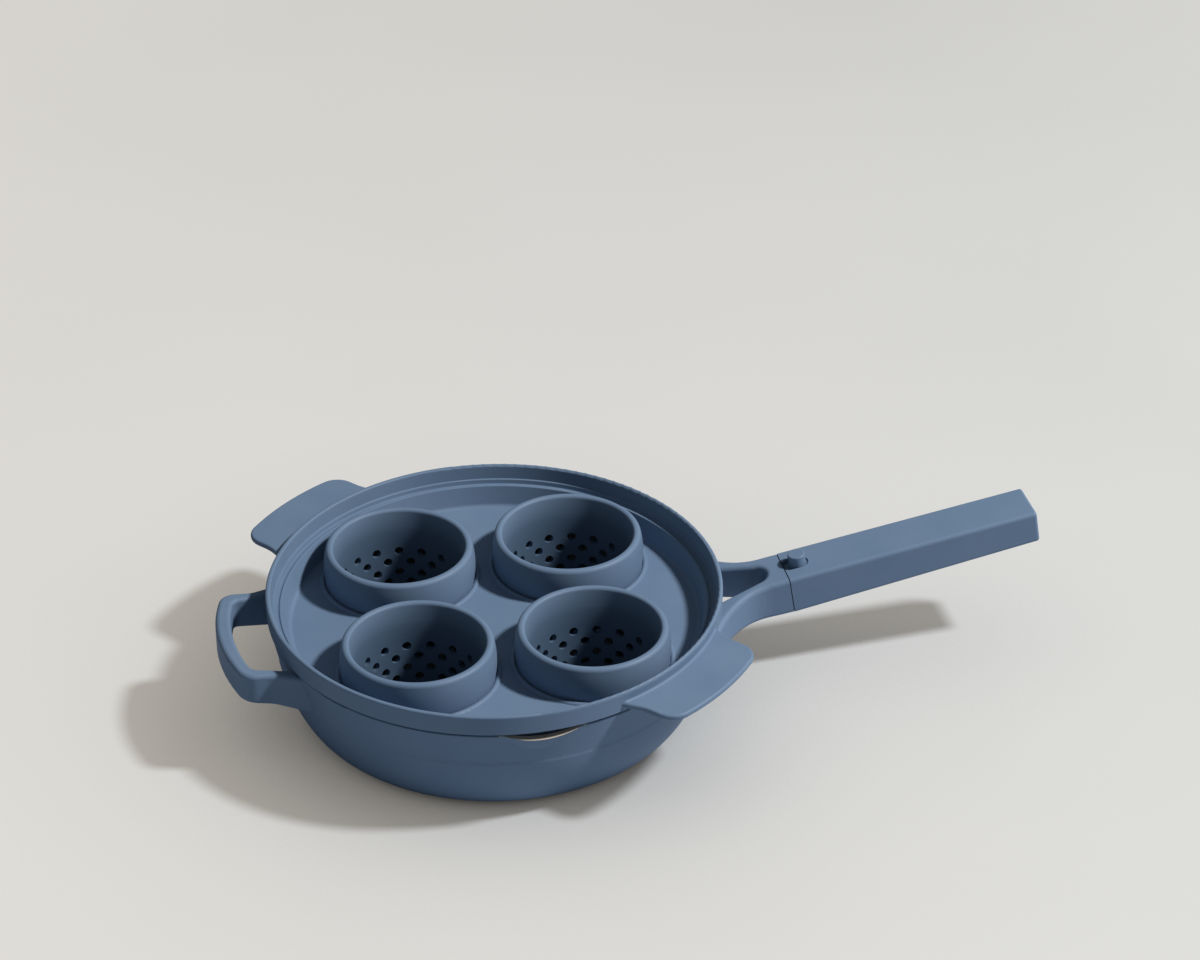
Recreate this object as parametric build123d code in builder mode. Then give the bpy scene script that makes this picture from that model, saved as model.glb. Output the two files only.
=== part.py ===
from build123d import *
import os
from math import cos, pi, radians, sin, sqrt, tan

# An egg poacher pan: a cast pan, and a silicone tray that lies in its mouth and holds four cups.
# Millimetres, +Z up. The origin is on the pan's axis, where its base stands on the hob.
# +X runs along the long handle.

os.makedirs("parts", exist_ok=True)

# How far a cutting tool runs past what it cuts
overrun = 5.0

# How near an edge lies to the height at which it is looked for
near = 0.01

# Pan bowl: the ring is where the upright wall turns into the rounded heel
rim_radius = 132.4
rim_height = 63.9
ring_inset = 4.3
ring_drop = 23.4
ring_step = 0.35
ring_blend = 2.4
ring_round = 9.0
base_inset = 33.0
wall = 3.2
base_thickness = 4.5
rim_round = 0.8
# Where the rounded heel of the wall passes, between its base and its ring
heel_shares = (0.686, 0.314)

# Pouring spouts, one each side, across the handle
spout_reach = 2.3
spout_half_width = 22.5
spout_depth = 11.9
spout_dip = 3.9
spout_lip_width = 4.7

# Steel disc in the base for induction hobs, and the cast studs that hold it
disc_margin = 15.4
disc_thickness = 1.0
disc_gap = 0.1
stud_radius = 2.6
stud_gap = 0.05
stud_ring_shares = (0.26, 0.5, 0.74, 0.92)
stud_ring_counts = (6, 12, 18, 24)

# Long handle: the joint between the cast neck and the grip, and the handle's rise
neck_length = 42.6
handle_rise = 9.0
joint_drop = 1.0
joint_width = 31.0
joint_depth = 24.4

# Cast neck, forked where it meets the wall
neck_drop = 0.2
neck_round = 2.8
neck_waist_from_joint = 10.0
neck_root_inset = 1.35
neck_root_half_width = 57.0
neck_root_depth = 27.6
neck_belly_depth = 26.8
fork_tip_from_joint = 10.0
fork_tip_radius = 8.5
fork_root_half_width = 23.2
# Where the neck's side and its underside curve, from its root towards its joint
neck_flare_shares = (0.532, 0.802)
neck_belly_share = 0.559

# Tang inside the grip
tang_width = 17.0
tang_depth = 10.0
tang_length = 58.0
tang_round = 2.0
tang_gap = 0.3

# Grip and the gasket at its joint
gasket_thickness = 0.6
gasket_recess = 0.5
grip_length = 155.0
grip_end_width = 30.2
grip_end_depth = 20.9
grip_edge_round = 2.4
grip_end_round = 1.8
core_inset = 0.8
core_end_wall = 7.0

# Spoon rest peg and its recess in the grip, which is deepest at the joint
peg_radius = 5.2
peg_stand = 6.7
peg_from_joint = 9.3
peg_round = 0.8
peg_gap = 0.15
peg_shank_radius = 4.0
peg_shank_gap = 0.3
recess_from_joint = 7.5
recess_length = 17.0
recess_width = 11.2
recess_depth = 3.0
recess_end_depth = 0.7

# Screw and washer that draw the peg down through the tang
screw_radius = 2.5
screw_gap = 0.1
screw_engagement = 9.0
screw_head_radius = 4.4
screw_head_depth = 2.6
screw_hex_width = 4.0
screw_hex_depth = 1.6
washer_radius = 5.2
washer_thickness = 1.0
pocket_gap = 0.5
pocket_depth = 4.0

# Helper loop opposite the long handle: how far it stands out, its plan, then its heights
loop_stand = 31.3
loop_bow = 8.8
loop_half_width = 43.8
loop_corner_radius = 11.0
loop_bar = 9.1
loop_side_bar = 8.4
loop_inner_bow = 5.4
loop_inner_corner_radius = 6.0
loop_bend_stand = 5.6
loop_bend_radius = 20.0
loop_root_inset = 5.3
loop_flare = 8.3
loop_root_bar = 10.7
loop_tip_rise = 3.3
loop_root_drop = 0.7
loop_tip_depth = 17.8
loop_root_depth = 23.6
loop_round = 2.4
# The part of the loop's side that its outer corner may take up
loop_corner_share = 0.7

# Poacher tray, from its rim inwards: lip, ledge, tub and floor
tray_overhang = 1.2
tray_rim_rise = 13.75
tray_lip_width = 2.8
tray_lip_round = 1.2
tray_skirt_inset = 0.3
tray_skirt_round = 0.5
tray_seat_gap = 0.15
tray_land_inset = 2.2
tray_shadow_gap = 1.25
ledge_inset = 1.3
ledge_drop = 8.8
ledge_width = 5.1
ledge_fall = 2.1
ledge_outer_step = 0.9
ledge_inner_step = 1.3
ledge_groove_run = 0.6
ledge_groove_depth = 0.6
ledge_round = 0.4
floor_inset = 3.9
floor_drop = 12.6
floor_thickness = 3.0
floor_round = 3.0
tub_gap = 1.6
tub_foot_inset = 3.4

# Lifting tabs, close to in line with two of the cups
tab_angles = (-49.3, 129.4)
tab_reach = 29.6
tab_half_width = 42.4
tab_corner_radius = 13.0
tab_bend_stand = 4.4
tab_bend_radius = 25.0
tab_root_inset = 2.8
tab_flare = 4.8
tab_drop = 6.3
tab_thickness = 3.8
tab_round = 1.5
tab_cove = 1.5

# Steel hoop moulded inside the rim
hoop_inset = 2.0
hoop_wire_radius = 1.0
hoop_cover = 2.0
hoop_gap = 0.05

# Cups: how they stand in the tray, how each happens to be turned, and their sizes
cup_names = ("cup_front_right", "cup_back_right", "cup_back_left", "cup_front_left")
cup_first_angle = -49.65
cup_turns = (10.2, 10.9, 17.7, 5.2)
cup_edge_gap = 3.7
cup_spacing = 10.9
cup_rim_drop = 1.0
cup_shoulder_inset = 1.8
cup_foot_inset = 0.9
cup_mouth_inset = 5.7
cup_mouth_round = 2.0
cup_shoulder_round = 2.7
cup_skirt_wall = 2.2
cup_foot_gap = 0.05
cup_notch_drop = 7.0
cup_wall = 2.8
cup_waist_inset = 9.2
cup_waist_round = 60.0
cup_heel_inset = 10.6
cup_heel_round = 6.0
cup_floor_stand = 11.5
cup_passage_gap = 0.9
hole_radius = 2.75
hole_count = 16
floor_hole_pitch = 8.6
floor_ring_shares = (0.7, 0.45, 0.21)
# Where the skirt is widest, and how far down the cup its waist and its rows of holes are
cup_bulge_share = 0.43
cup_waist_share = 0.288
hole_row_shares = (0.467, 0.597, 0.726, 0.84)

# Low ridge on the tray's floor round each cup
ridge_gap = 0.3
ridge_width = 3.4
ridge_height = 1.2

# Directions, radii and heights worked out from the sizes above
ring_radius = rim_radius - ring_inset
ring_height = rim_height - ring_drop
base_radius = rim_radius - base_inset
disc_radius = base_radius - disc_margin
wall_lean = ring_inset / ring_drop
rise = radians(handle_rise)
joint_plane = Plane(
    origin=(rim_radius + neck_length, 0, rim_height - joint_drop),
    x_dir=(0, 1, 0),
    z_dir=(cos(rise), 0, sin(rise)),
)
peg_plane = Plane(
    origin=joint_plane.from_local_coords((0, 0, peg_from_joint)),
    x_dir=joint_plane.z_dir,
    z_dir=joint_plane.y_dir,
)


# The corner of a half section that lies at this radius and height
def corner(section, radius, height):
    return section.vertices().sort_by_distance((radius, height, 0))[0]


# The bowl's half section: its outside with no inset, or its hollow inside the wall
def bowl_section(inset, floor, top):
    foot = (base_radius, floor)
    ring = (ring_radius - inset, ring_height)
    heel = (
        base_radius + (ring[0] - base_radius) * heel_shares[0],
        floor + (ring_height - floor) * heel_shares[1],
    )
    with BuildSketch(Plane.XZ) as section:
        with BuildLine():
            Polyline((0, top), (0, floor), foot)
            Spline(foot, heel, ring, tangents=((1, 0), (wall_lean, 1)))
            if inset:
                brim = (rim_radius - inset, rim_height)
                Polyline(ring, brim, (brim[0], top), (0, top))
            else:
                step = (
                    ring_radius + wall_lean * ring_blend - ring_step, ring_height + ring_blend
                )
                Polyline(ring, step, (rim_radius, top), (0, top))
        make_face()
        if not inset:
            fillet(corner(section, *step), ring_round)
            fillet(corner(section, rim_radius, top), rim_round)
    return section.sketch


# Each spout swells out of the wall as a short cone about an upright axis inside the rim
spout_sagitta = spout_reach + rim_radius - sqrt(rim_radius**2 - spout_half_width**2)
spout_radius = (spout_half_width**2 + spout_sagitta**2) / (2 * spout_sagitta)
spout_place = rim_radius + spout_reach - spout_radius
spout_foot_radius = spout_radius - spout_reach - spout_depth * wall_lean


def spout_cones(inset):
    with BuildPart() as cones:
        for side in (-1, 1):
            with BuildSketch(Plane.XY.offset(rim_height - spout_depth)):
                with Locations((0, side * spout_place)):
                    Circle(spout_foot_radius - inset)
            with BuildSketch(Plane.XY.offset(rim_height)):
                with Locations((0, side * spout_place)):
                    Circle(spout_radius - inset)
            loft(ruled=True)
    return cones.part


with BuildPart() as bowl_outside:
    revolve(bowl_section(0, 0, rim_height), axis=Axis.Z)
    add(spout_cones(0))

with BuildPart() as bowl_hollow:
    revolve(bowl_section(wall, base_thickness, rim_height + overrun), axis=Axis.Z)
    add(spout_cones(spout_lip_width))

# Neck: a plan outline crossed with a side outline, and its long edges rounded
neck_half = joint_width / 2
neck_top = joint_plane.from_local_coords((0, -neck_drop, 0))
neck_foot = joint_plane.from_local_coords((0, -joint_depth, 0))
neck_waist_x = joint_plane.origin.X - neck_waist_from_joint
neck_root_x = sqrt((rim_radius - neck_root_inset) ** 2 - neck_root_half_width**2)
neck_flare_x = neck_root_x + (neck_waist_x - neck_root_x) * neck_flare_shares[0]
neck_flare_half_width = (
    neck_root_half_width + (neck_half - neck_root_half_width) * neck_flare_shares[1]
)
neck_top_root = neck_top.Z - (neck_top.X - neck_root_x) * tan(rise)
neck_root_height = joint_plane.origin.Z - neck_root_depth
neck_belly_x = neck_root_x + (neck_foot.X - neck_root_x) * neck_belly_share
neck_belly_height = joint_plane.origin.Z - neck_belly_depth
with BuildPart() as neck:
    with BuildSketch():
        with BuildLine():
            Polyline(
                (neck_root_x, neck_root_half_width),
                (neck_root_x, 0),
                (neck_foot.X + overrun, 0),
                (neck_foot.X + overrun, neck_half),
                (neck_waist_x, neck_half),
            )
            Spline(
                (neck_waist_x, neck_half),
                (neck_flare_x, neck_flare_half_width),
                (neck_root_x, neck_root_half_width),
                tangents=((-1, 0), (-neck_root_half_width / neck_root_x, 1)),
            )
        make_face()
        mirror(about=Plane.XZ)
        with BuildSketch(mode=Mode.SUBTRACT):
            with Locations((joint_plane.origin.X - fork_tip_from_joint - fork_tip_radius, 0)):
                Circle(fork_tip_radius)
            with Locations((neck_root_x - overrun, 0)):
                Rectangle(overrun, 2 * fork_root_half_width)
            make_hull()
    extrude(amount=rim_height)
    with BuildSketch(Plane.XZ):
        with BuildLine():
            Polyline(
                (neck_root_x, neck_root_height),
                (neck_root_x, neck_top_root),
                (neck_top.X, neck_top.Z),
                (neck_foot.X, neck_foot.Z),
            )
            Spline(
                (neck_foot.X, neck_foot.Z),
                (neck_belly_x, neck_belly_height),
                (neck_root_x, neck_root_height),
            )
        make_face()
    extrude(amount=rim_radius, both=True, mode=Mode.INTERSECT)
    top_edges = neck.faces().sort_by(Axis.Z)[-1].edges()
    under_edges = neck.faces().sort_by(Axis.Z)[0].edges()
    fillet(
        (top_edges + under_edges).filter_by_position(
            Axis.X, neck_root_x + wall, joint_plane.origin.X - wall
        ),
        neck_round,
    )

# Helper loop, made the same way
loop_reach = rim_radius + loop_stand
loop_bow_x = loop_reach - loop_bow
loop_bend_x = rim_radius + loop_bend_stand
loop_root_half_width = loop_half_width + loop_flare
loop_root_x = sqrt((rim_radius - loop_root_inset) ** 2 - loop_root_half_width**2)
loop_corner = min(loop_corner_radius, (loop_bow_x - loop_bend_x) * loop_corner_share)
loop_gap_x = loop_reach - loop_bar
loop_gap_bow_x = loop_gap_x - loop_inner_bow
loop_gap_half_width = loop_half_width - loop_side_bar
loop_gap_root_half_width = loop_root_half_width - loop_root_bar
loop_tip_top = rim_height + loop_tip_rise
loop_root_top = rim_height - loop_root_drop
loop_top_slope = (loop_tip_top - loop_root_top) / (loop_reach - loop_root_x)
loop_under_slope = loop_top_slope + (loop_root_depth - loop_tip_depth) / (loop_reach - loop_root_x)
with BuildPart() as loop:
    with BuildSketch() as plan:
        with BuildLine():
            ThreePointArc(
                (-loop_bow_x, -loop_half_width),
                (-loop_reach, 0),
                (-loop_bow_x, loop_half_width),
            )
            Polyline(
                (-loop_bow_x, loop_half_width),
                (-loop_bend_x, loop_half_width),
                (-loop_root_x, loop_root_half_width),
                (-loop_root_x, -loop_root_half_width),
                (-loop_bend_x, -loop_half_width),
                (-loop_bow_x, -loop_half_width),
            )
        make_face()
        fillet(plan.vertices().sort_by(Axis.X)[:2], loop_corner)
        bends = plan.vertices().filter_by_position(Axis.X, -loop_bend_x - wall, -loop_bend_x + wall)
        fillet(bends, loop_bend_radius)
        with BuildSketch(mode=Mode.SUBTRACT) as gap:
            with BuildLine():
                ThreePointArc(
                    (-loop_gap_bow_x, -loop_gap_half_width),
                    (-loop_gap_x, 0),
                    (-loop_gap_bow_x, loop_gap_half_width),
                )
                Polyline(
                    (-loop_gap_bow_x, loop_gap_half_width),
                    (-loop_root_x, loop_gap_root_half_width),
                    (-loop_root_x, -loop_gap_root_half_width),
                    (-loop_gap_bow_x, -loop_gap_half_width),
                )
            make_face()
            fillet(gap.vertices().sort_by(Axis.X)[:2], loop_inner_corner_radius)
    extrude(amount=loop_tip_top + overrun)
    with BuildSketch(Plane.XZ):
        with BuildLine():
            Polyline(
                (-loop_root_x, loop_root_top - loop_root_depth),
                (-loop_root_x, loop_root_top),
                (-loop_reach - overrun, loop_tip_top + overrun * loop_top_slope),
                (
                    -loop_reach - overrun,
                    loop_tip_top - loop_tip_depth + overrun * loop_under_slope,
                ),
                (-loop_root_x, loop_root_top - loop_root_depth),
            )
        make_face()
    extrude(amount=rim_radius, both=True, mode=Mode.INTERSECT)
    top_edges = loop.faces().sort_by(Axis.Z)[-1].edges()
    under_edges = loop.faces().sort_by(Axis.Z)[0].edges()
    fillet(
        (top_edges + under_edges).filter_by_position(Axis.X, -loop_reach, -loop_root_x - wall),
        loop_round,
    )

# The whole casting, with the base recess for the steel disc and the tang for the grip
dip_radius = (spout_half_width**2 + spout_dip**2) / (2 * spout_dip)
with BuildPart() as pan_body:
    add(bowl_outside.part)
    add(neck.part)
    add(loop.part)
    add(bowl_hollow.part, mode=Mode.SUBTRACT)
    with BuildSketch(Plane.XZ.offset(-rim_radius - overrun)):
        with Locations((0, rim_height - spout_dip + dip_radius)):
            Circle(dip_radius)
    extrude(amount=2 * (rim_radius + overrun), mode=Mode.SUBTRACT)
    with BuildSketch(joint_plane.offset(-overrun)):
        with Locations((0, -joint_depth / 2)):
            RectangleRounded(tang_width, tang_depth, tang_round)
    extrude(amount=tang_length + overrun)
    with BuildSketch(peg_plane):
        Circle(peg_shank_radius + peg_shank_gap)
    extrude(amount=-joint_depth, mode=Mode.SUBTRACT)
    with BuildSketch():
        Circle(disc_radius + disc_gap)
        for share, count in zip(stud_ring_shares, stud_ring_counts):
            with PolarLocations(disc_radius * share, count):
                Circle(stud_radius, mode=Mode.SUBTRACT)
    extrude(amount=disc_thickness, mode=Mode.SUBTRACT)
pan_body.part.label = "pan_body"
export_step(pan_body.part, "parts/pan_body.step")

with BuildPart() as induction_disc:
    with BuildSketch():
        Circle(disc_radius)
        for share, count in zip(stud_ring_shares, stud_ring_counts):
            with PolarLocations(disc_radius * share, count):
                Circle(stud_radius + stud_gap, mode=Mode.SUBTRACT)
    extrude(amount=disc_thickness)
induction_disc.part.label = "induction_disc"
export_step(induction_disc.part, "parts/induction_disc.step")

# The recess for the peg: a slot whose floor rises away from the joint
recess_start = recess_from_joint - peg_from_joint - recess_length / 2
with BuildPart() as recess:
    with BuildSketch(peg_plane):
        with Locations((recess_start + recess_length / 2, 0)):
            SlotOverall(recess_length, recess_width)
    extrude(amount=-recess_depth)
    with BuildSketch(Plane(origin=peg_plane.origin, x_dir=peg_plane.x_dir, z_dir=(0, -1, 0))):
        with BuildLine():
            Polyline(
                (recess_start, 0),
                (recess_start, -recess_depth),
                (recess_start + recess_length, -recess_end_depth),
                (recess_start + recess_length, 0),
                (recess_start, 0),
            )
        make_face()
    extrude(amount=recess_width, both=True, mode=Mode.INTERSECT)

# Grip: its top edge runs along the handle's rise and its underside closes in towards the end
tang_hole_width = tang_width + 2 * tang_gap
tang_hole_depth = tang_depth + 2 * tang_gap
with BuildPart() as grip:
    with BuildSketch(joint_plane.offset(gasket_thickness)):
        with Locations((0, -joint_depth / 2)):
            RectangleRounded(joint_width, joint_depth, grip_edge_round)
    with BuildSketch(joint_plane.offset(grip_length)):
        with Locations((0, -grip_end_depth / 2)):
            RectangleRounded(grip_end_width, grip_end_depth, grip_edge_round)
    loft(ruled=True)
    fillet(grip.faces().sort_by(Axis.X)[-1].edges(), grip_end_round)
    with BuildSketch(joint_plane.offset(gasket_thickness)):
        with Locations((0, -joint_depth / 2)):
            RectangleRounded(tang_hole_width, tang_hole_depth, tang_round)
    extrude(amount=tang_length + tang_gap - gasket_thickness, mode=Mode.SUBTRACT)
    with BuildSketch(joint_plane.offset(tang_length)):
        with Locations((0, -joint_depth / 2)):
            RectangleRounded(
                tang_hole_width - 2 * core_inset, tang_hole_depth - 2 * core_inset, tang_round
            )
    extrude(amount=grip_length - core_end_wall - tang_length, mode=Mode.SUBTRACT)
    add(recess.part, mode=Mode.SUBTRACT)
    with BuildSketch(peg_plane):
        Circle(peg_radius + peg_gap)
    extrude(amount=-recess_depth, mode=Mode.SUBTRACT)
    with BuildSketch(peg_plane):
        Circle(peg_shank_radius + peg_shank_gap)
    extrude(amount=-joint_depth / 2, mode=Mode.SUBTRACT)
    with BuildSketch(peg_plane.offset(-joint_depth / 2)):
        Circle(screw_radius + peg_shank_gap)
    extrude(amount=-joint_depth, mode=Mode.SUBTRACT)
    with BuildSketch(peg_plane.offset(-joint_depth + pocket_depth)):
        Circle(washer_radius + pocket_gap)
    extrude(amount=-joint_depth, mode=Mode.SUBTRACT)
grip.part.label = "handle_grip"
export_step(grip.part, "parts/handle_grip.step")

with BuildPart() as gasket:
    with BuildSketch(joint_plane):
        with Locations((0, -(joint_depth + neck_drop) / 2)):
            RectangleRounded(
                joint_width - 2 * gasket_recess,
                joint_depth - neck_drop - 2 * gasket_recess,
                grip_edge_round,
            )
        with Locations((0, -joint_depth / 2)):
            RectangleRounded(tang_hole_width, tang_hole_depth, tang_round, mode=Mode.SUBTRACT)
    extrude(amount=gasket_thickness)
gasket.part.label = "handle_gasket"
export_step(gasket.part, "parts/handle_gasket.step")

# Peg: a round head on a shank that ends in a threaded bore inside the tang
shank_foot = -(joint_depth + tang_depth) / 2
washer_seat = -joint_depth + pocket_depth
with BuildPart() as peg:
    with BuildSketch(peg_plane.offset(-recess_depth)):
        Circle(peg_radius)
    extrude(amount=recess_depth + peg_stand)
    fillet(peg.faces().sort_by(Axis.Z)[-1].edges(), peg_round)
    with BuildSketch(peg_plane.offset(-recess_depth)):
        Circle(peg_shank_radius)
    extrude(amount=shank_foot + recess_depth)
    with BuildSketch(peg_plane.offset(shank_foot)):
        Circle(screw_radius + screw_gap)
    extrude(amount=screw_engagement + screw_gap, mode=Mode.SUBTRACT)
peg.part.label = "spoon_rest_peg"
export_step(peg.part, "parts/spoon_rest_peg.step")

with BuildPart() as washer:
    with BuildSketch(peg_plane.offset(washer_seat)):
        Circle(washer_radius)
        Circle(screw_radius + screw_gap, mode=Mode.SUBTRACT)
    extrude(amount=-washer_thickness)
washer.part.label = "handle_washer"
export_step(washer.part, "parts/handle_washer.step")

head_seat = washer_seat - washer_thickness
with BuildPart() as screw:
    with BuildSketch(peg_plane.offset(head_seat)):
        Circle(screw_radius)
    extrude(amount=shank_foot + screw_engagement - head_seat)
    with BuildSketch(peg_plane.offset(head_seat)):
        Circle(screw_head_radius)
    extrude(amount=-screw_head_depth)
    with BuildSketch(peg_plane.offset(head_seat - screw_head_depth)):
        RegularPolygon(screw_hex_width / 2, 6, major_radius=False)
    extrude(amount=screw_hex_depth, mode=Mode.SUBTRACT)
screw.part.label = "handle_screw"
export_step(screw.part, "parts/handle_screw.step")

# Radii and heights of the tray, from its rim inwards
seat_height = rim_height + tray_seat_gap
tub_radius = rim_radius - wall - tub_gap
land_radius = rim_radius - tray_land_inset
tray_rim_radius = rim_radius + tray_overhang
tray_rim_height = seat_height + tray_rim_rise
skirt_radius = tray_rim_radius - tray_skirt_inset
skirt_foot_height = seat_height + tray_shadow_gap
lip_inner_radius = tray_rim_radius - tray_lip_width
ledge_outer_radius = lip_inner_radius - ledge_inset
ledge_outer_height = tray_rim_height - ledge_drop
ledge_inner_radius = ledge_outer_radius - ledge_width
ledge_inner_height = ledge_outer_height - ledge_fall
floor_radius = ledge_inner_radius - floor_inset
floor_height = ledge_inner_height - floor_drop
hoop_radius = tray_rim_radius - hoop_inset
hoop_height = seat_height + hoop_cover + hoop_wire_radius

# The ledge runs inwards as a flat step, a shallow groove and a flat edge
ledge = [
    (ledge_outer_radius, ledge_outer_height),
    (ledge_outer_radius - ledge_outer_step, ledge_outer_height),
    (
        ledge_outer_radius - ledge_outer_step - ledge_groove_run,
        ledge_inner_height - ledge_groove_depth,
    ),
    (
        ledge_inner_radius + ledge_inner_step + ledge_groove_run,
        ledge_inner_height - ledge_groove_depth,
    ),
    (ledge_inner_radius + ledge_inner_step, ledge_inner_height),
    (ledge_inner_radius, ledge_inner_height),
]

# Each cup's widest radius leaves its gap to the tray's wall and its spacing to the next cup
cup_radius = ((floor_radius - cup_edge_gap) * sqrt(2) - cup_spacing) / (2 + sqrt(2))
cup_place_radius = floor_radius - cup_edge_gap - cup_radius
cup_angles = [cup_first_angle + 360 * i / len(cup_names) for i in range(len(cup_names))]
cup_plans = [
    (cup_place_radius * cos(radians(a)), cup_place_radius * sin(radians(a))) for a in cup_angles
]
cup_foot_radius = cup_radius - cup_foot_inset
cup_waist_radius = cup_radius - cup_waist_inset
cup_hole_radius = cup_waist_radius + cup_wall + cup_passage_gap + ridge_gap
ridge_inner = cup_foot_radius + ridge_gap


# A tab's plan, along +X: a curved end with round corners, flaring out into the tray's skirt
def tab_plan():
    corner_x = sqrt((tray_rim_radius + tab_reach) ** 2 - tab_half_width**2)
    bend_x = tray_rim_radius + tab_bend_stand
    root_half_width = tab_half_width + tab_flare
    root_x = sqrt((tray_rim_radius - tab_root_inset) ** 2 - root_half_width**2)
    with BuildSketch() as plan:
        with BuildLine():
            ThreePointArc(
                (corner_x, -tab_half_width),
                (tray_rim_radius + tab_reach, 0),
                (corner_x, tab_half_width),
            )
            Polyline(
                (corner_x, tab_half_width),
                (bend_x, tab_half_width),
                (root_x, root_half_width),
                (root_x, -root_half_width),
                (bend_x, -tab_half_width),
                (corner_x, -tab_half_width),
            )
        make_face()
        fillet(plan.vertices().sort_by(Axis.X)[-2:], tab_corner_radius)
        bends = plan.vertices().filter_by_position(Axis.X, bend_x - wall, bend_x + wall)
        fillet(bends, tab_bend_radius)
        Circle(lip_inner_radius, mode=Mode.SUBTRACT)
    return plan.sketch


# Tray: one turned section, then its tabs, its cup seats and the hollow round the hoop
with BuildPart() as tray:
    with BuildSketch(Plane.XZ) as section:
        with BuildLine():
            Polyline(
                (0, floor_height - floor_thickness),
                (tub_radius - tub_foot_inset, floor_height - floor_thickness),
                (tub_radius, seat_height),
                (land_radius, seat_height),
                (land_radius, skirt_foot_height),
                (skirt_radius, skirt_foot_height),
                (tray_rim_radius, tray_rim_height),
                (lip_inner_radius, tray_rim_height),
                *ledge,
                (floor_radius, floor_height),
                (0, floor_height),
                (0, floor_height - floor_thickness),
            )
        make_face()
        fillet(corner(section, tray_rim_radius, tray_rim_height), tray_lip_round)
        fillet(corner(section, lip_inner_radius, tray_rim_height), tray_lip_round)
        fillet(corner(section, skirt_radius, skirt_foot_height), tray_skirt_round)
        for radius, height in ledge:
            fillet(corner(section, radius, height), ledge_round)
        fillet(corner(section, floor_radius, floor_height), floor_round)
        fillet(
            corner(section, tub_radius - tub_foot_inset, floor_height - floor_thickness),
            floor_round,
        )
    revolve()
    tab_top = tray_rim_height - tab_drop
    for angle in tab_angles:
        way = radians(angle)
        tab_plane = Plane(origin=(0, 0, tab_top - tab_thickness), x_dir=(cos(way), sin(way), 0))
        with BuildSketch(tab_plane):
            add(tab_plan())
        blade = extrude(amount=tab_thickness, mode=Mode.PRIVATE)
        blade_faces = blade.faces().sort_by(Axis.Z)
        add(blade.fillet(tab_round, blade_faces[0].edges() + blade_faces[-1].edges()))
    arcs = tray.edges().filter_by(GeomType.CIRCLE)
    coves = arcs.filter_by_position(Axis.Z, tab_top - near, tab_top + near)
    fillet(coves.filter_by(lambda edge: lip_inner_radius < edge.radius < tray_rim_radius), tab_cove)
    for x, y in cup_plans:
        with BuildSketch(Plane(origin=(x, y, 0), x_dir=(1, 0, 0), z_dir=(0, -1, 0))):
            with BuildLine():
                ThreePointArc(
                    (ridge_inner, floor_height),
                    (ridge_inner + ridge_width / 2, floor_height + ridge_height),
                    (ridge_inner + ridge_width, floor_height),
                )
                Polyline(
                    (ridge_inner + ridge_width, floor_height),
                    (ridge_inner + ridge_width, floor_height - floor_thickness / 2),
                    (ridge_inner, floor_height - floor_thickness / 2),
                    (ridge_inner, floor_height),
                )
            make_face()
        revolve(axis=Axis((x, y, 0), (0, 0, 1)))
    with BuildSketch(Plane.XY.offset(floor_height)):
        with Locations(*cup_plans):
            Circle(cup_hole_radius)
    extrude(amount=overrun, both=True, mode=Mode.SUBTRACT)
    with BuildSketch(Plane.XZ):
        with Locations((hoop_radius, hoop_height)):
            Circle(hoop_wire_radius + hoop_gap)
    revolve(mode=Mode.SUBTRACT)
tray.part.label = "poacher_tray"
export_step(tray.part, "parts/poacher_tray.step")

with BuildPart() as hoop:
    with BuildSketch(Plane.XZ):
        with Locations((hoop_radius, hoop_height)):
            Circle(hoop_wire_radius)
    revolve()
hoop.part.label = "tray_hoop"
export_step(hoop.part, "parts/tray_hoop.step")

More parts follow.
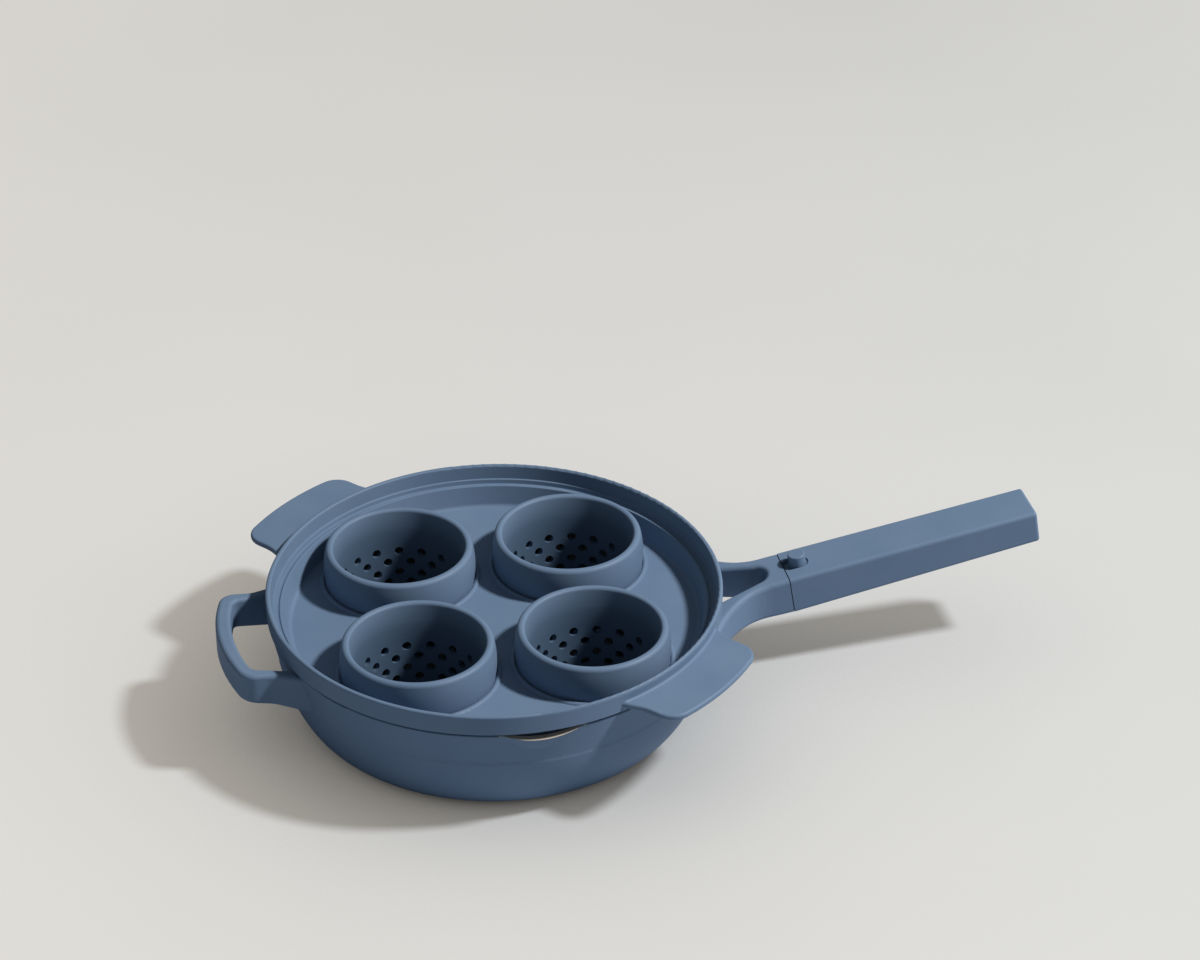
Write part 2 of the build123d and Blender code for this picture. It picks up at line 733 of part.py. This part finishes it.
# One cup about its own axis: a perforated bowl whose rim turns over into a bulging skirt
cup_crest = tray_rim_height - cup_rim_drop
foot_height = floor_height + cup_foot_gap
cup_bottom = base_thickness + cup_floor_stand + cup_wall
cup_depth = cup_crest - cup_bottom
bulge_height = foot_height + (cup_crest - foot_height) * cup_bulge_share
notch_height = cup_crest - cup_notch_drop
waist_height = cup_crest - cup_depth * cup_waist_share
mouth_radius = cup_radius - cup_mouth_inset
heel_radius = cup_radius - cup_heel_inset
bowl_lean = (mouth_radius - cup_waist_radius) / (cup_crest - waist_height)
notch_radius = cup_waist_radius + cup_wall + bowl_lean * (notch_height - waist_height)
hole_step = 360 / hole_count
with BuildPart() as cup_blank:
    with BuildSketch(Plane.XZ) as section:
        with BuildLine():
            Polyline(
                (cup_radius - cup_shoulder_inset, cup_crest),
                (mouth_radius, cup_crest),
                (cup_waist_radius, waist_height),
                (heel_radius, cup_bottom),
                (0, cup_bottom),
                (0, cup_bottom - cup_wall),
                (heel_radius + cup_wall, cup_bottom - cup_wall),
                (cup_waist_radius + cup_wall, waist_height),
                (notch_radius, notch_height),
                (cup_foot_radius - cup_skirt_wall, notch_height),
                (cup_foot_radius - cup_skirt_wall, foot_height),
                (cup_foot_radius, foot_height),
            )
            ThreePointArc(
                (cup_foot_radius, foot_height),
                (cup_radius, bulge_height),
                (cup_radius - cup_shoulder_inset, cup_crest),
            )
        make_face()
        fillet(corner(section, mouth_radius, cup_crest), cup_mouth_round)
        fillet(corner(section, cup_radius - cup_shoulder_inset, cup_crest), cup_shoulder_round)
        fillet(corner(section, cup_waist_radius, waist_height), cup_waist_round)
        fillet(
            corner(section, cup_waist_radius + cup_wall, waist_height), cup_waist_round - cup_wall
        )
        fillet(corner(section, heel_radius, cup_bottom), cup_heel_round)
        fillet(
            corner(section, heel_radius + cup_wall, cup_bottom - cup_wall),
            cup_heel_round + cup_wall,
        )
    revolve()
    for row, share in enumerate(hole_row_shares):
        for hole in range(hole_count):
            way = radians((hole + row / 2) * hole_step)
            hole_plane = Plane(
                origin=(0, 0, cup_crest - cup_depth * share),
                x_dir=(0, 0, 1),
                z_dir=(cos(way), sin(way), 0),
            )
            with BuildSketch(hole_plane):
                Circle(hole_radius)
            extrude(amount=cup_foot_radius - cup_skirt_wall, mode=Mode.SUBTRACT)
    with BuildSketch(Plane.XY.offset(cup_bottom + cup_heel_round)):
        for share in floor_ring_shares:
            ring_of_holes = heel_radius * share
            with PolarLocations(ring_of_holes, int(2 * pi * ring_of_holes / floor_hole_pitch)):
                Circle(hole_radius)
    extrude(amount=-cup_depth, mode=Mode.SUBTRACT)

for name, (x, y), angle, turn in zip(cup_names, cup_plans, cup_angles, cup_turns):
    with BuildPart() as cup:
        with Locations(Location((x, y, 0), (0, 0, angle + turn))):
            add(cup_blank.part)
    cup.part.label = name
    export_step(cup.part, f"parts/{name}.step")
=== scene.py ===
# %% [markdown]
# # Dressing an egg poacher pan
#
# A coated cast pan stands on a pale table. A silicone tray lies in its mouth, and pierced cups
# hang through the floor of the tray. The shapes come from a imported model, one mesh for each
# piece of the real pan. This lesson gives every piece its finish, then adds the table, the
# light and the camera.
#
# Everything is in metres. The origin is on the pan's upright axis at the table, +Z is up, and
# +X runs along the long handle.

import math

import bpy
from mathutils import Matrix, Vector

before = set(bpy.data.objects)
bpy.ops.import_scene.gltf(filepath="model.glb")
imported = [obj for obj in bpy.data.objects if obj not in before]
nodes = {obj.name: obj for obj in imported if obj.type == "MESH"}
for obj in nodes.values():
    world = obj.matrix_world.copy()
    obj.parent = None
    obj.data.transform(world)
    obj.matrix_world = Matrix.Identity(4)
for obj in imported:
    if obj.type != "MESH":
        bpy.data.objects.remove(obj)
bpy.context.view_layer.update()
bpy.ops.object.select_all(action="DESELECT")
for name in sorted(nodes):
    print(name, "has", len(nodes[name].data.polygons), "triangles")

# %% [markdown]
# ## The camera
#
# The photograph was taken with a long lens, from the front and a little to the left, looking
# down on the tray. A long lens keeps the far rim nearly as wide as the near one. The camera is
# set by the direction from the pan back to it, its place, and a lens in millimetres.

# %% Set the camera
camera_azimuth = math.radians(-13.251)
camera_elevation = math.radians(32.171)
camera_roll = math.radians(-0.119)
camera_place = (-0.3502, -1.7570, 1.2755)
camera_lens = 110.56
camera_sensor = 36
camera_nearest, camera_farthest = 0.05, 60

camera_data = bpy.data.cameras.new("photo_camera")
camera = bpy.data.objects.new("photo_camera", camera_data)
bpy.context.scene.collection.objects.link(camera)
camera_data.sensor_width = camera_sensor
camera_data.lens = camera_lens
camera_data.clip_start = camera_nearest
camera_data.clip_end = camera_farthest
camera.matrix_world = (
    Matrix.Translation(camera_place)
    @ Matrix.Rotation(camera_azimuth, 4, "Z")
    @ Matrix.Rotation(math.radians(90) - camera_elevation, 4, "X")
    @ Matrix.Rotation(camera_roll, 4, "Z")
)
bpy.context.scene.camera = camera
print("camera at", [round(v, 3) for v in camera.location])

# %% [markdown]
# ## The table
#
# The pan stands on a smooth pale table top. A large plane is enough, set a hair below the pan's
# base so that the two faces never share a plane. It has a faint cloudiness in its colour, since
# no painted board is perfectly even.
#
# The room's light would need many lamps to fill the shadow as softly as a real studio does. So
# the camera sees a little extra glow on the table. Ambient occlusion dims that glow wherever the
# pan stands over the table, and the shadow deepens towards the foot of the pan. The glow falls
# off a little from left to right, and rises far from the pan, where the lamp gives less. The
# light that bounces from the table up to the pan has a tone of its own.

# %% A helper that starts a material
def start_material(name, colour, roughness, specular):
    made = bpy.data.materials.new(name)
    made.use_nodes = True
    shader = made.node_tree.nodes["Principled BSDF"]
    shader.inputs["Base Color"].default_value = (*colour, 1)
    shader.inputs["Roughness"].default_value = roughness
    shader.inputs["Specular IOR Level"].default_value = specular
    return made, made.node_tree, shader


# %% Helpers for noise on an object's own coordinates, for ranges and for blends
def object_noise(tree, size, detail):
    place = tree.nodes.new("ShaderNodeTexCoord")
    noise = tree.nodes.new("ShaderNodeTexNoise")
    noise.inputs["Scale"].default_value = 1 / size
    noise.inputs["Detail"].default_value = detail
    tree.links.new(place.outputs["Object"], noise.inputs["Vector"])
    return noise.outputs["Fac"]


def spread(tree, value, low, high, to_low, to_high):
    ranged = tree.nodes.new("ShaderNodeMapRange")
    ranged.inputs["From Min"].default_value = low
    ranged.inputs["From Max"].default_value = high
    ranged.inputs["To Min"].default_value = to_low
    ranged.inputs["To Max"].default_value = to_high
    tree.links.new(value, ranged.inputs["Value"])
    return ranged.outputs["Result"]


def blend_colours(tree, share, colour_a, colour_b):
    mix = tree.nodes.new("ShaderNodeMix")
    mix.data_type = "RGBA"
    tree.links.new(share, mix.inputs["Factor"])
    for socket, colour in ((mix.inputs["A"], colour_a), (mix.inputs["B"], colour_b)):
        if isinstance(colour, tuple):
            socket.default_value = (*colour, 1)
        else:
            tree.links.new(colour, socket)
    return mix.outputs["Result"]


# %% Helpers for sums on sockets, and for where a point is and which way it faces
def maths(tree, kind, a, b=0.0, c=0.0):
    node = tree.nodes.new("ShaderNodeMath")
    node.operation = kind
    for socket, value in zip(node.inputs, (a, b, c)):
        if isinstance(value, (int, float)):
            socket.default_value = value
        else:
            tree.links.new(value, socket)
    return node.outputs["Value"]


def parts_of(tree, vector):
    split = tree.nodes.new("ShaderNodeSeparateXYZ")
    tree.links.new(vector, split.inputs["Vector"])
    return [split.outputs[axis] for axis in "XYZ"]


def point_place(tree):
    return parts_of(tree, tree.nodes.new("ShaderNodeTexCoord").outputs["Object"])


def face_direction(tree):
    return parts_of(tree, tree.nodes.new("ShaderNodeNewGeometry").outputs["Normal"])


def distance_from_axis(tree, x, y, axis_x=0.0, axis_y=0.0):
    across = maths(tree, "SUBTRACT", x, axis_x)
    along = maths(tree, "SUBTRACT", y, axis_y)
    squared = maths(tree, "MULTIPLY_ADD", across, across, maths(tree, "MULTIPLY", along, along))
    return maths(tree, "SQRT", squared)


# %% Lay the table
table_size = 24
table_drop = 0.0001
table_tone = (0.325, 0.345, 0.365)
table_cloud_tone = (0.31, 0.33, 0.35)
table_roughness, table_shine = 0.6, 0.2
cloud_size, cloud_detail = 0.4, 3
cloud_low, cloud_high = 0.35, 0.65
glow_tone = (0.385, 0.352, 0.305)
glow_fall, glow_fall_reach = 0.22, 0.5
glow_near, glow_far, glow_far_gain = 0.9, 4.0, 1.75
bounce_tone = (0.48, 0.52, 0.58)
shade_reach, shade_samples = 0.19, 4

bpy.ops.mesh.primitive_plane_add(size=table_size, location=(0, 0, -table_drop))
table = bpy.context.object
table.name = "table"
table_paint, tree, shader = start_material(
    "table_paint", table_tone, table_roughness, table_shine
)
clouds = spread(tree, object_noise(tree, cloud_size, cloud_detail), cloud_low, cloud_high, 0, 1)
tree.links.new(
    blend_colours(tree, clouds, table_tone, table_cloud_tone), shader.inputs["Base Color"]
)
table_glow = tree.nodes.new("ShaderNodeEmission")
table_glow.inputs["Color"].default_value = (*glow_tone, 1)
openness = tree.nodes.new("ShaderNodeAmbientOcclusion")
openness.inputs["Distance"].default_value = shade_reach
openness.samples = shade_samples
x, y, z = point_place(tree)
fall = spread(tree, x, -glow_fall_reach, glow_fall_reach, 1 + glow_fall, 1 - glow_fall)
far = spread(tree, distance_from_axis(tree, x, y), glow_near, glow_far, 1, glow_far_gain)
glow = maths(tree, "MULTIPLY", openness.outputs["AO"], maths(tree, "MULTIPLY", fall, far))
tree.links.new(glow, table_glow.inputs["Strength"])
table_bounce = tree.nodes.new("ShaderNodeBsdfDiffuse")
table_bounce.inputs["Color"].default_value = (*bounce_tone, 1)
table_sum = tree.nodes.new("ShaderNodeAddShader")
table_seen = tree.nodes.new("ShaderNodeMixShader")
table_path = tree.nodes.new("ShaderNodeLightPath")
tree.links.new(shader.outputs["BSDF"], table_sum.inputs[0])
tree.links.new(table_glow.outputs["Emission"], table_sum.inputs[1])
tree.links.new(table_path.outputs["Is Camera Ray"], table_seen.inputs["Fac"])
tree.links.new(table_bounce.outputs["BSDF"], table_seen.inputs[1])
tree.links.new(table_sum.outputs["Shader"], table_seen.inputs[2])
tree.links.new(table_seen.outputs["Shader"], tree.nodes["Material Output"].inputs["Surface"])
table.data.materials.append(table_paint)
print("table is", table_size, "metres wide")

# %% [markdown]
# ## The light
#
# One lamp stands high on the right, a little towards the camera, so the shadow falls to the
# left. It is only about three metres away, which makes the shadows spread: the helper loop's is
# longer than the handle's. A spot lamp with a wide soft cone is used, aimed a little past the
# pan, so that the far side is hardly dimmer than the near one. The rest of the room gives an
# even, weaker light from above. Together they light a level surface at about full strength, so
# a colour renders about as it is written. The camera sees a warmer backdrop than the one that
# lights the pan.

# %% Set the lamps and the room
key_azimuth = math.radians(-16.9)
key_elevation = math.radians(50.3)
key_distance = 3.21
key_light = 3.7
key_radius = 0.17
key_cone = math.radians(110)
key_tone = (1.0, 0.985, 0.96)
key_aim = Vector((-0.4, 0.3, 0))
key_place = key_distance * Vector((
    math.cos(key_elevation) * math.cos(key_azimuth),
    math.cos(key_elevation) * math.sin(key_azimuth),
    math.sin(key_elevation),
))
room_strength = 0.18
room_tone = (0.84, 0.93, 1.0)
backdrop_tone = (0.66, 0.65, 0.62)

key_data = bpy.data.lights.new("key_lamp", "SPOT")
key_data.energy = key_light * 4 * math.pi * key_distance**2
key_data.shadow_soft_size = key_radius
key_data.spot_size = key_cone
key_data.spot_blend = 1
key_data.color = key_tone
key = bpy.data.objects.new("key_lamp", key_data)
key.location = key_place
key.rotation_euler = (key_aim - key_place).to_track_quat("-Z", "Y").to_euler()
bpy.context.scene.collection.objects.link(key)

world = bpy.data.worlds.new("room")
bpy.context.scene.world = world
world.use_nodes = True
room = world.node_tree
room_light = room.nodes["Background"]
room_light.inputs["Color"].default_value = (*room_tone, 1)
room_light.inputs["Strength"].default_value = room_strength
room_seen = room.nodes.new("ShaderNodeBackground")
room_seen.inputs["Color"].default_value = (*backdrop_tone, 1)
seen_path = room.nodes.new("ShaderNodeLightPath")
either = room.nodes.new("ShaderNodeMixShader")
room.links.new(seen_path.outputs["Is Camera Ray"], either.inputs["Fac"])
room.links.new(room_light.outputs["Background"], either.inputs[1])
room.links.new(room_seen.outputs["Background"], either.inputs[2])
room.links.new(either.outputs["Shader"], room.nodes["World Output"].inputs["Surface"])
bpy.context.scene.view_settings.view_transform = "Standard"
print("key lamp at", [round(v, 2) for v in key_place], "room", room_strength)

# %% [markdown]
# ## The matte coats
#
# All the pieces share one slate blue, but not one finish. The casting has a sprayed ceramic
# coat with a fine sandy grain. The grip is moulded and smoother. Tray and cups are silicone,
# smooth with a soft bloom. One function makes such a coat from its colour, its grain size and
# its grain depth, because the recipe is the same and only the numbers differ.

# %% A helper for a matte coat with a fine grain
slate = (0.124, 0.187, 0.284)
slate_worn = (0.138, 0.202, 0.301)
coat_shine = 0.2
patch_size, patch_low, patch_high = 0.035, 0.3, 0.7
speck_low, speck_high, speck_share = 0.6, 0.75, 0.86
fine_detail = 2
rough_swing = 0.04


def matte_coat(name, colour, other, roughness, grain, depth):
    made, tree, shader = start_material(name, colour, roughness, coat_shine)
    patches = object_noise(tree, patch_size, fine_detail)
    patches = spread(tree, patches, patch_low, patch_high, 0, 1)
    tone = blend_colours(tree, patches, colour, other)
    specks = object_noise(tree, grain, fine_detail)
    dark = tuple(v * speck_share for v in colour)
    tone = blend_colours(tree, spread(tree, specks, speck_low, speck_high, 0, 1), tone, dark)
    tree.links.new(tone, shader.inputs["Base Color"])
    rough = spread(tree, patches, 0, 1, roughness - rough_swing, roughness + rough_swing)
    tree.links.new(rough, shader.inputs["Roughness"])
    bump = tree.nodes.new("ShaderNodeBump")
    bump.inputs["Distance"].default_value = depth
    tree.links.new(specks, bump.inputs["Height"])
    tree.links.new(bump.outputs["Normal"], shader.inputs["Normal"])
    return made, tree, shader, tone


def dress(node_name, made):
    data = nodes[node_name].data
    data.materials.clear()
    data.materials.append(made)
    print(node_name, "wears", made.name)


# %% Dress the grip and the peg
grip_coat, *_ = matte_coat(
    "grip_moulded_matte", slate, slate_worn, roughness=0.5, grain=0.0006, depth=0.00002
)
dress("handle_grip", grip_coat)
peg_coat, *_ = matte_coat(
    "peg_painted", slate, slate_worn, roughness=0.42, grain=0.0005, depth=0.00002
)
dress("spoon_rest_peg", peg_coat)

# %% Dress the tray
tray_coat, *_ = matte_coat(
    "tray_silicone", slate, slate_worn, roughness=0.52, grain=0.0005, depth=0.00001
)
dress("poacher_tray", tray_coat)

# %% [markdown]
# ## The cups
#
# The bowls of the cups get painted shade, so that they look deeper than the light alone
# makes them. Each cup has its own copy of the coat, which measures how far a point is from
# that cup's axis. Points inside the mouth that face upwards, even a little, take the painted
# shade, and it fades out over the rounded rim.

# %% Dress the cups
cup_mouth_radius = 0.0395
cup_mouth_fade = 0.003
# The colour below is painted shade for the insides of the bowls.
cup_painted_shade = (0.065, 0.105, 0.165)
for name in sorted(nodes):
    if not name.startswith("cup_"):
        continue
    corners = [Vector(corner) for corner in nodes[name].bound_box]
    cup_axis = sum(corners, Vector()) / len(corners)
    coat_name = name.replace("cup", "silicone")
    cup_coat, tree, shader, tone = matte_coat(
        coat_name, slate, slate_worn, roughness=0.5, grain=0.0005, depth=0.00001
    )
    x, y, z = point_place(tree)
    reach = distance_from_axis(tree, x, y, cup_axis.x, cup_axis.y)
    within = spread(tree, reach, cup_mouth_radius, cup_mouth_radius - cup_mouth_fade, 0, 1)
    upward = maths(tree, "GREATER_THAN", face_direction(tree)[2], 0.0)
    # The share below marks where the painted shade goes: inside the mouth, facing up.
    painted_shade_share = maths(tree, "MULTIPLY", within, upward)
    tree.links.new(blend_colours(tree, painted_shade_share, tone, cup_painted_shade), shader.inputs["Base Color"])
    dress(name, cup_coat)

# %% [markdown]
# ## The casting and its two coats
#
# Outside, the casting is slate blue. Inside it has a light beige ceramic coat, which shows
# through the gap at the pouring spout. One mesh carries both, so the material has to know
# inside from outside. A point is inside when it lies within the wall's outer radius at its own
# height, and its face looks up or towards the pan's axis. The small step at the ring, the outer
# edge of the rim, and the neck and the loop look up too, but they are slate. Towards the pan's
# floor the beige takes painted shade and gets darker, so that the holes of the cups read as
# dark.

# %% Coat the casting
ring_radius, ring_height = 0.1281, 0.0405
rim_radius, rim_height = 0.1324, 0.0639
rim_edge = 0.0022
spout_reach, spout_half_width, spout_dip = 0.0034, 0.025, 0.0044
floor_top, floor_fade = 0.006, 0.02
wall = 0.0032
facing_up = 0.3
beige = (0.5, 0.43, 0.35)
beige_cloud = (0.53, 0.46, 0.38)
# The colour below is painted shade for the lower part of the pan's inside.
beige_painted_shade = (0.2, 0.175, 0.15)
beige_cloud_size = 0.02
wall_lean = (rim_radius - ring_radius) / (rim_height - ring_height)

body_coat, tree, shader, outside = matte_coat(
    "casting_ceramic", slate, slate_worn, roughness=0.55, grain=0.0009, depth=0.00007
)
x, y, z = point_place(tree)
face_x, face_y, face_z = face_direction(tree)
reach = distance_from_axis(tree, x, y)
at_spout = maths(tree, "LESS_THAN", maths(tree, "ABSOLUTE", x), spout_half_width)
edge = maths(tree, "MULTIPLY_ADD", at_spout, rim_edge + spout_reach, -rim_edge)
wall_reach = maths(tree, "MULTIPLY_ADD", z, wall_lean, ring_radius - ring_height * wall_lean)
within = maths(tree, "LESS_THAN", reach, maths(tree, "ADD", wall_reach, edge))
outward = maths(tree, "MULTIPLY_ADD", x, face_x, maths(tree, "MULTIPLY", y, face_y))
inward = maths(tree, "LESS_THAN", outward, 0.0)
below_rim = maths(tree, "LESS_THAN", z, rim_height - spout_dip)
near_wall = maths(tree, "GREATER_THAN", reach, ring_radius - wall)
at_ring = maths(tree, "MULTIPLY", below_rim, near_wall)
upward = maths(tree, "SUBTRACT", maths(tree, "GREATER_THAN", face_z, facing_up), at_ring)
inside = maths(tree, "MULTIPLY", within, maths(tree, "MAXIMUM", inward, upward))
clouds = object_noise(tree, beige_cloud_size, fine_detail)
clouds = spread(tree, clouds, patch_low, patch_high, 0, 1)
ceramic = blend_colours(tree, clouds, beige, beige_cloud)
# Painted shade: the beige darkens towards the pan's floor.
low = spread(tree, z, floor_fade, floor_top, 0, 1)
ceramic = blend_colours(tree, low, ceramic, beige_painted_shade)
tree.links.new(blend_colours(tree, inside, outside, ceramic), shader.inputs["Base Color"])
dress("pan_body", body_coat)

# %% [markdown]
# ## Steel and rubber
#
# The disc in the base is turned steel, with fine rings from the lathe. The screw and washer
# are plain steel. The gasket is a darker rubber that reads as the thin joint line.

# %% Dress the steel pieces
steel_shine = 0.5
ring_waver, ring_detail, ring_depth = 1.5, 3, 0.00002
ring_smoother, ring_rougher = 0.06, 0.08


def turned_steel(name, tone, roughness, ring_size):
    made, tree, shader = start_material(name, tone, roughness, steel_shine)
    shader.inputs["Metallic"].default_value = 1
    place = tree.nodes.new("ShaderNodeTexCoord")
    rings = tree.nodes.new("ShaderNodeTexWave")
    rings.wave_type = "RINGS"
    rings.rings_direction = "Z"
    rings.inputs["Scale"].default_value = 1 / ring_size
    rings.inputs["Distortion"].default_value = ring_waver
    rings.inputs["Detail"].default_value = ring_detail
    tree.links.new(place.outputs["Object"], rings.inputs["Vector"])
    smooth, coarse = roughness - ring_smoother, roughness + ring_rougher
    rough = spread(tree, rings.outputs["Fac"], 0, 1, smooth, coarse)
    tree.links.new(rough, shader.inputs["Roughness"])
    bump = tree.nodes.new("ShaderNodeBump")
    bump.inputs["Distance"].default_value = ring_depth
    tree.links.new(rings.outputs["Fac"], bump.inputs["Height"])
    tree.links.new(bump.outputs["Normal"], shader.inputs["Normal"])
    return made


disc_tone = (0.5, 0.5, 0.49)
fastener_tone = (0.46, 0.46, 0.46)
disc_steel = turned_steel("disc_turned_steel", disc_tone, roughness=0.38, ring_size=0.004)
dress("induction_disc", disc_steel)
fastener_steel = turned_steel("fastener_steel", fastener_tone, roughness=0.32, ring_size=0.002)
for name in ("handle_screw", "handle_washer", "tray_hoop"):
    dress(name, fastener_steel)

# %% Dress the gasket
gasket_tone = (0.02, 0.03, 0.045)
gasket_rubber, *_ = matte_coat(
    "gasket_rubber", gasket_tone, gasket_tone, roughness=0.7, grain=0.0006, depth=0.00001
)
dress("handle_gasket", gasket_rubber)
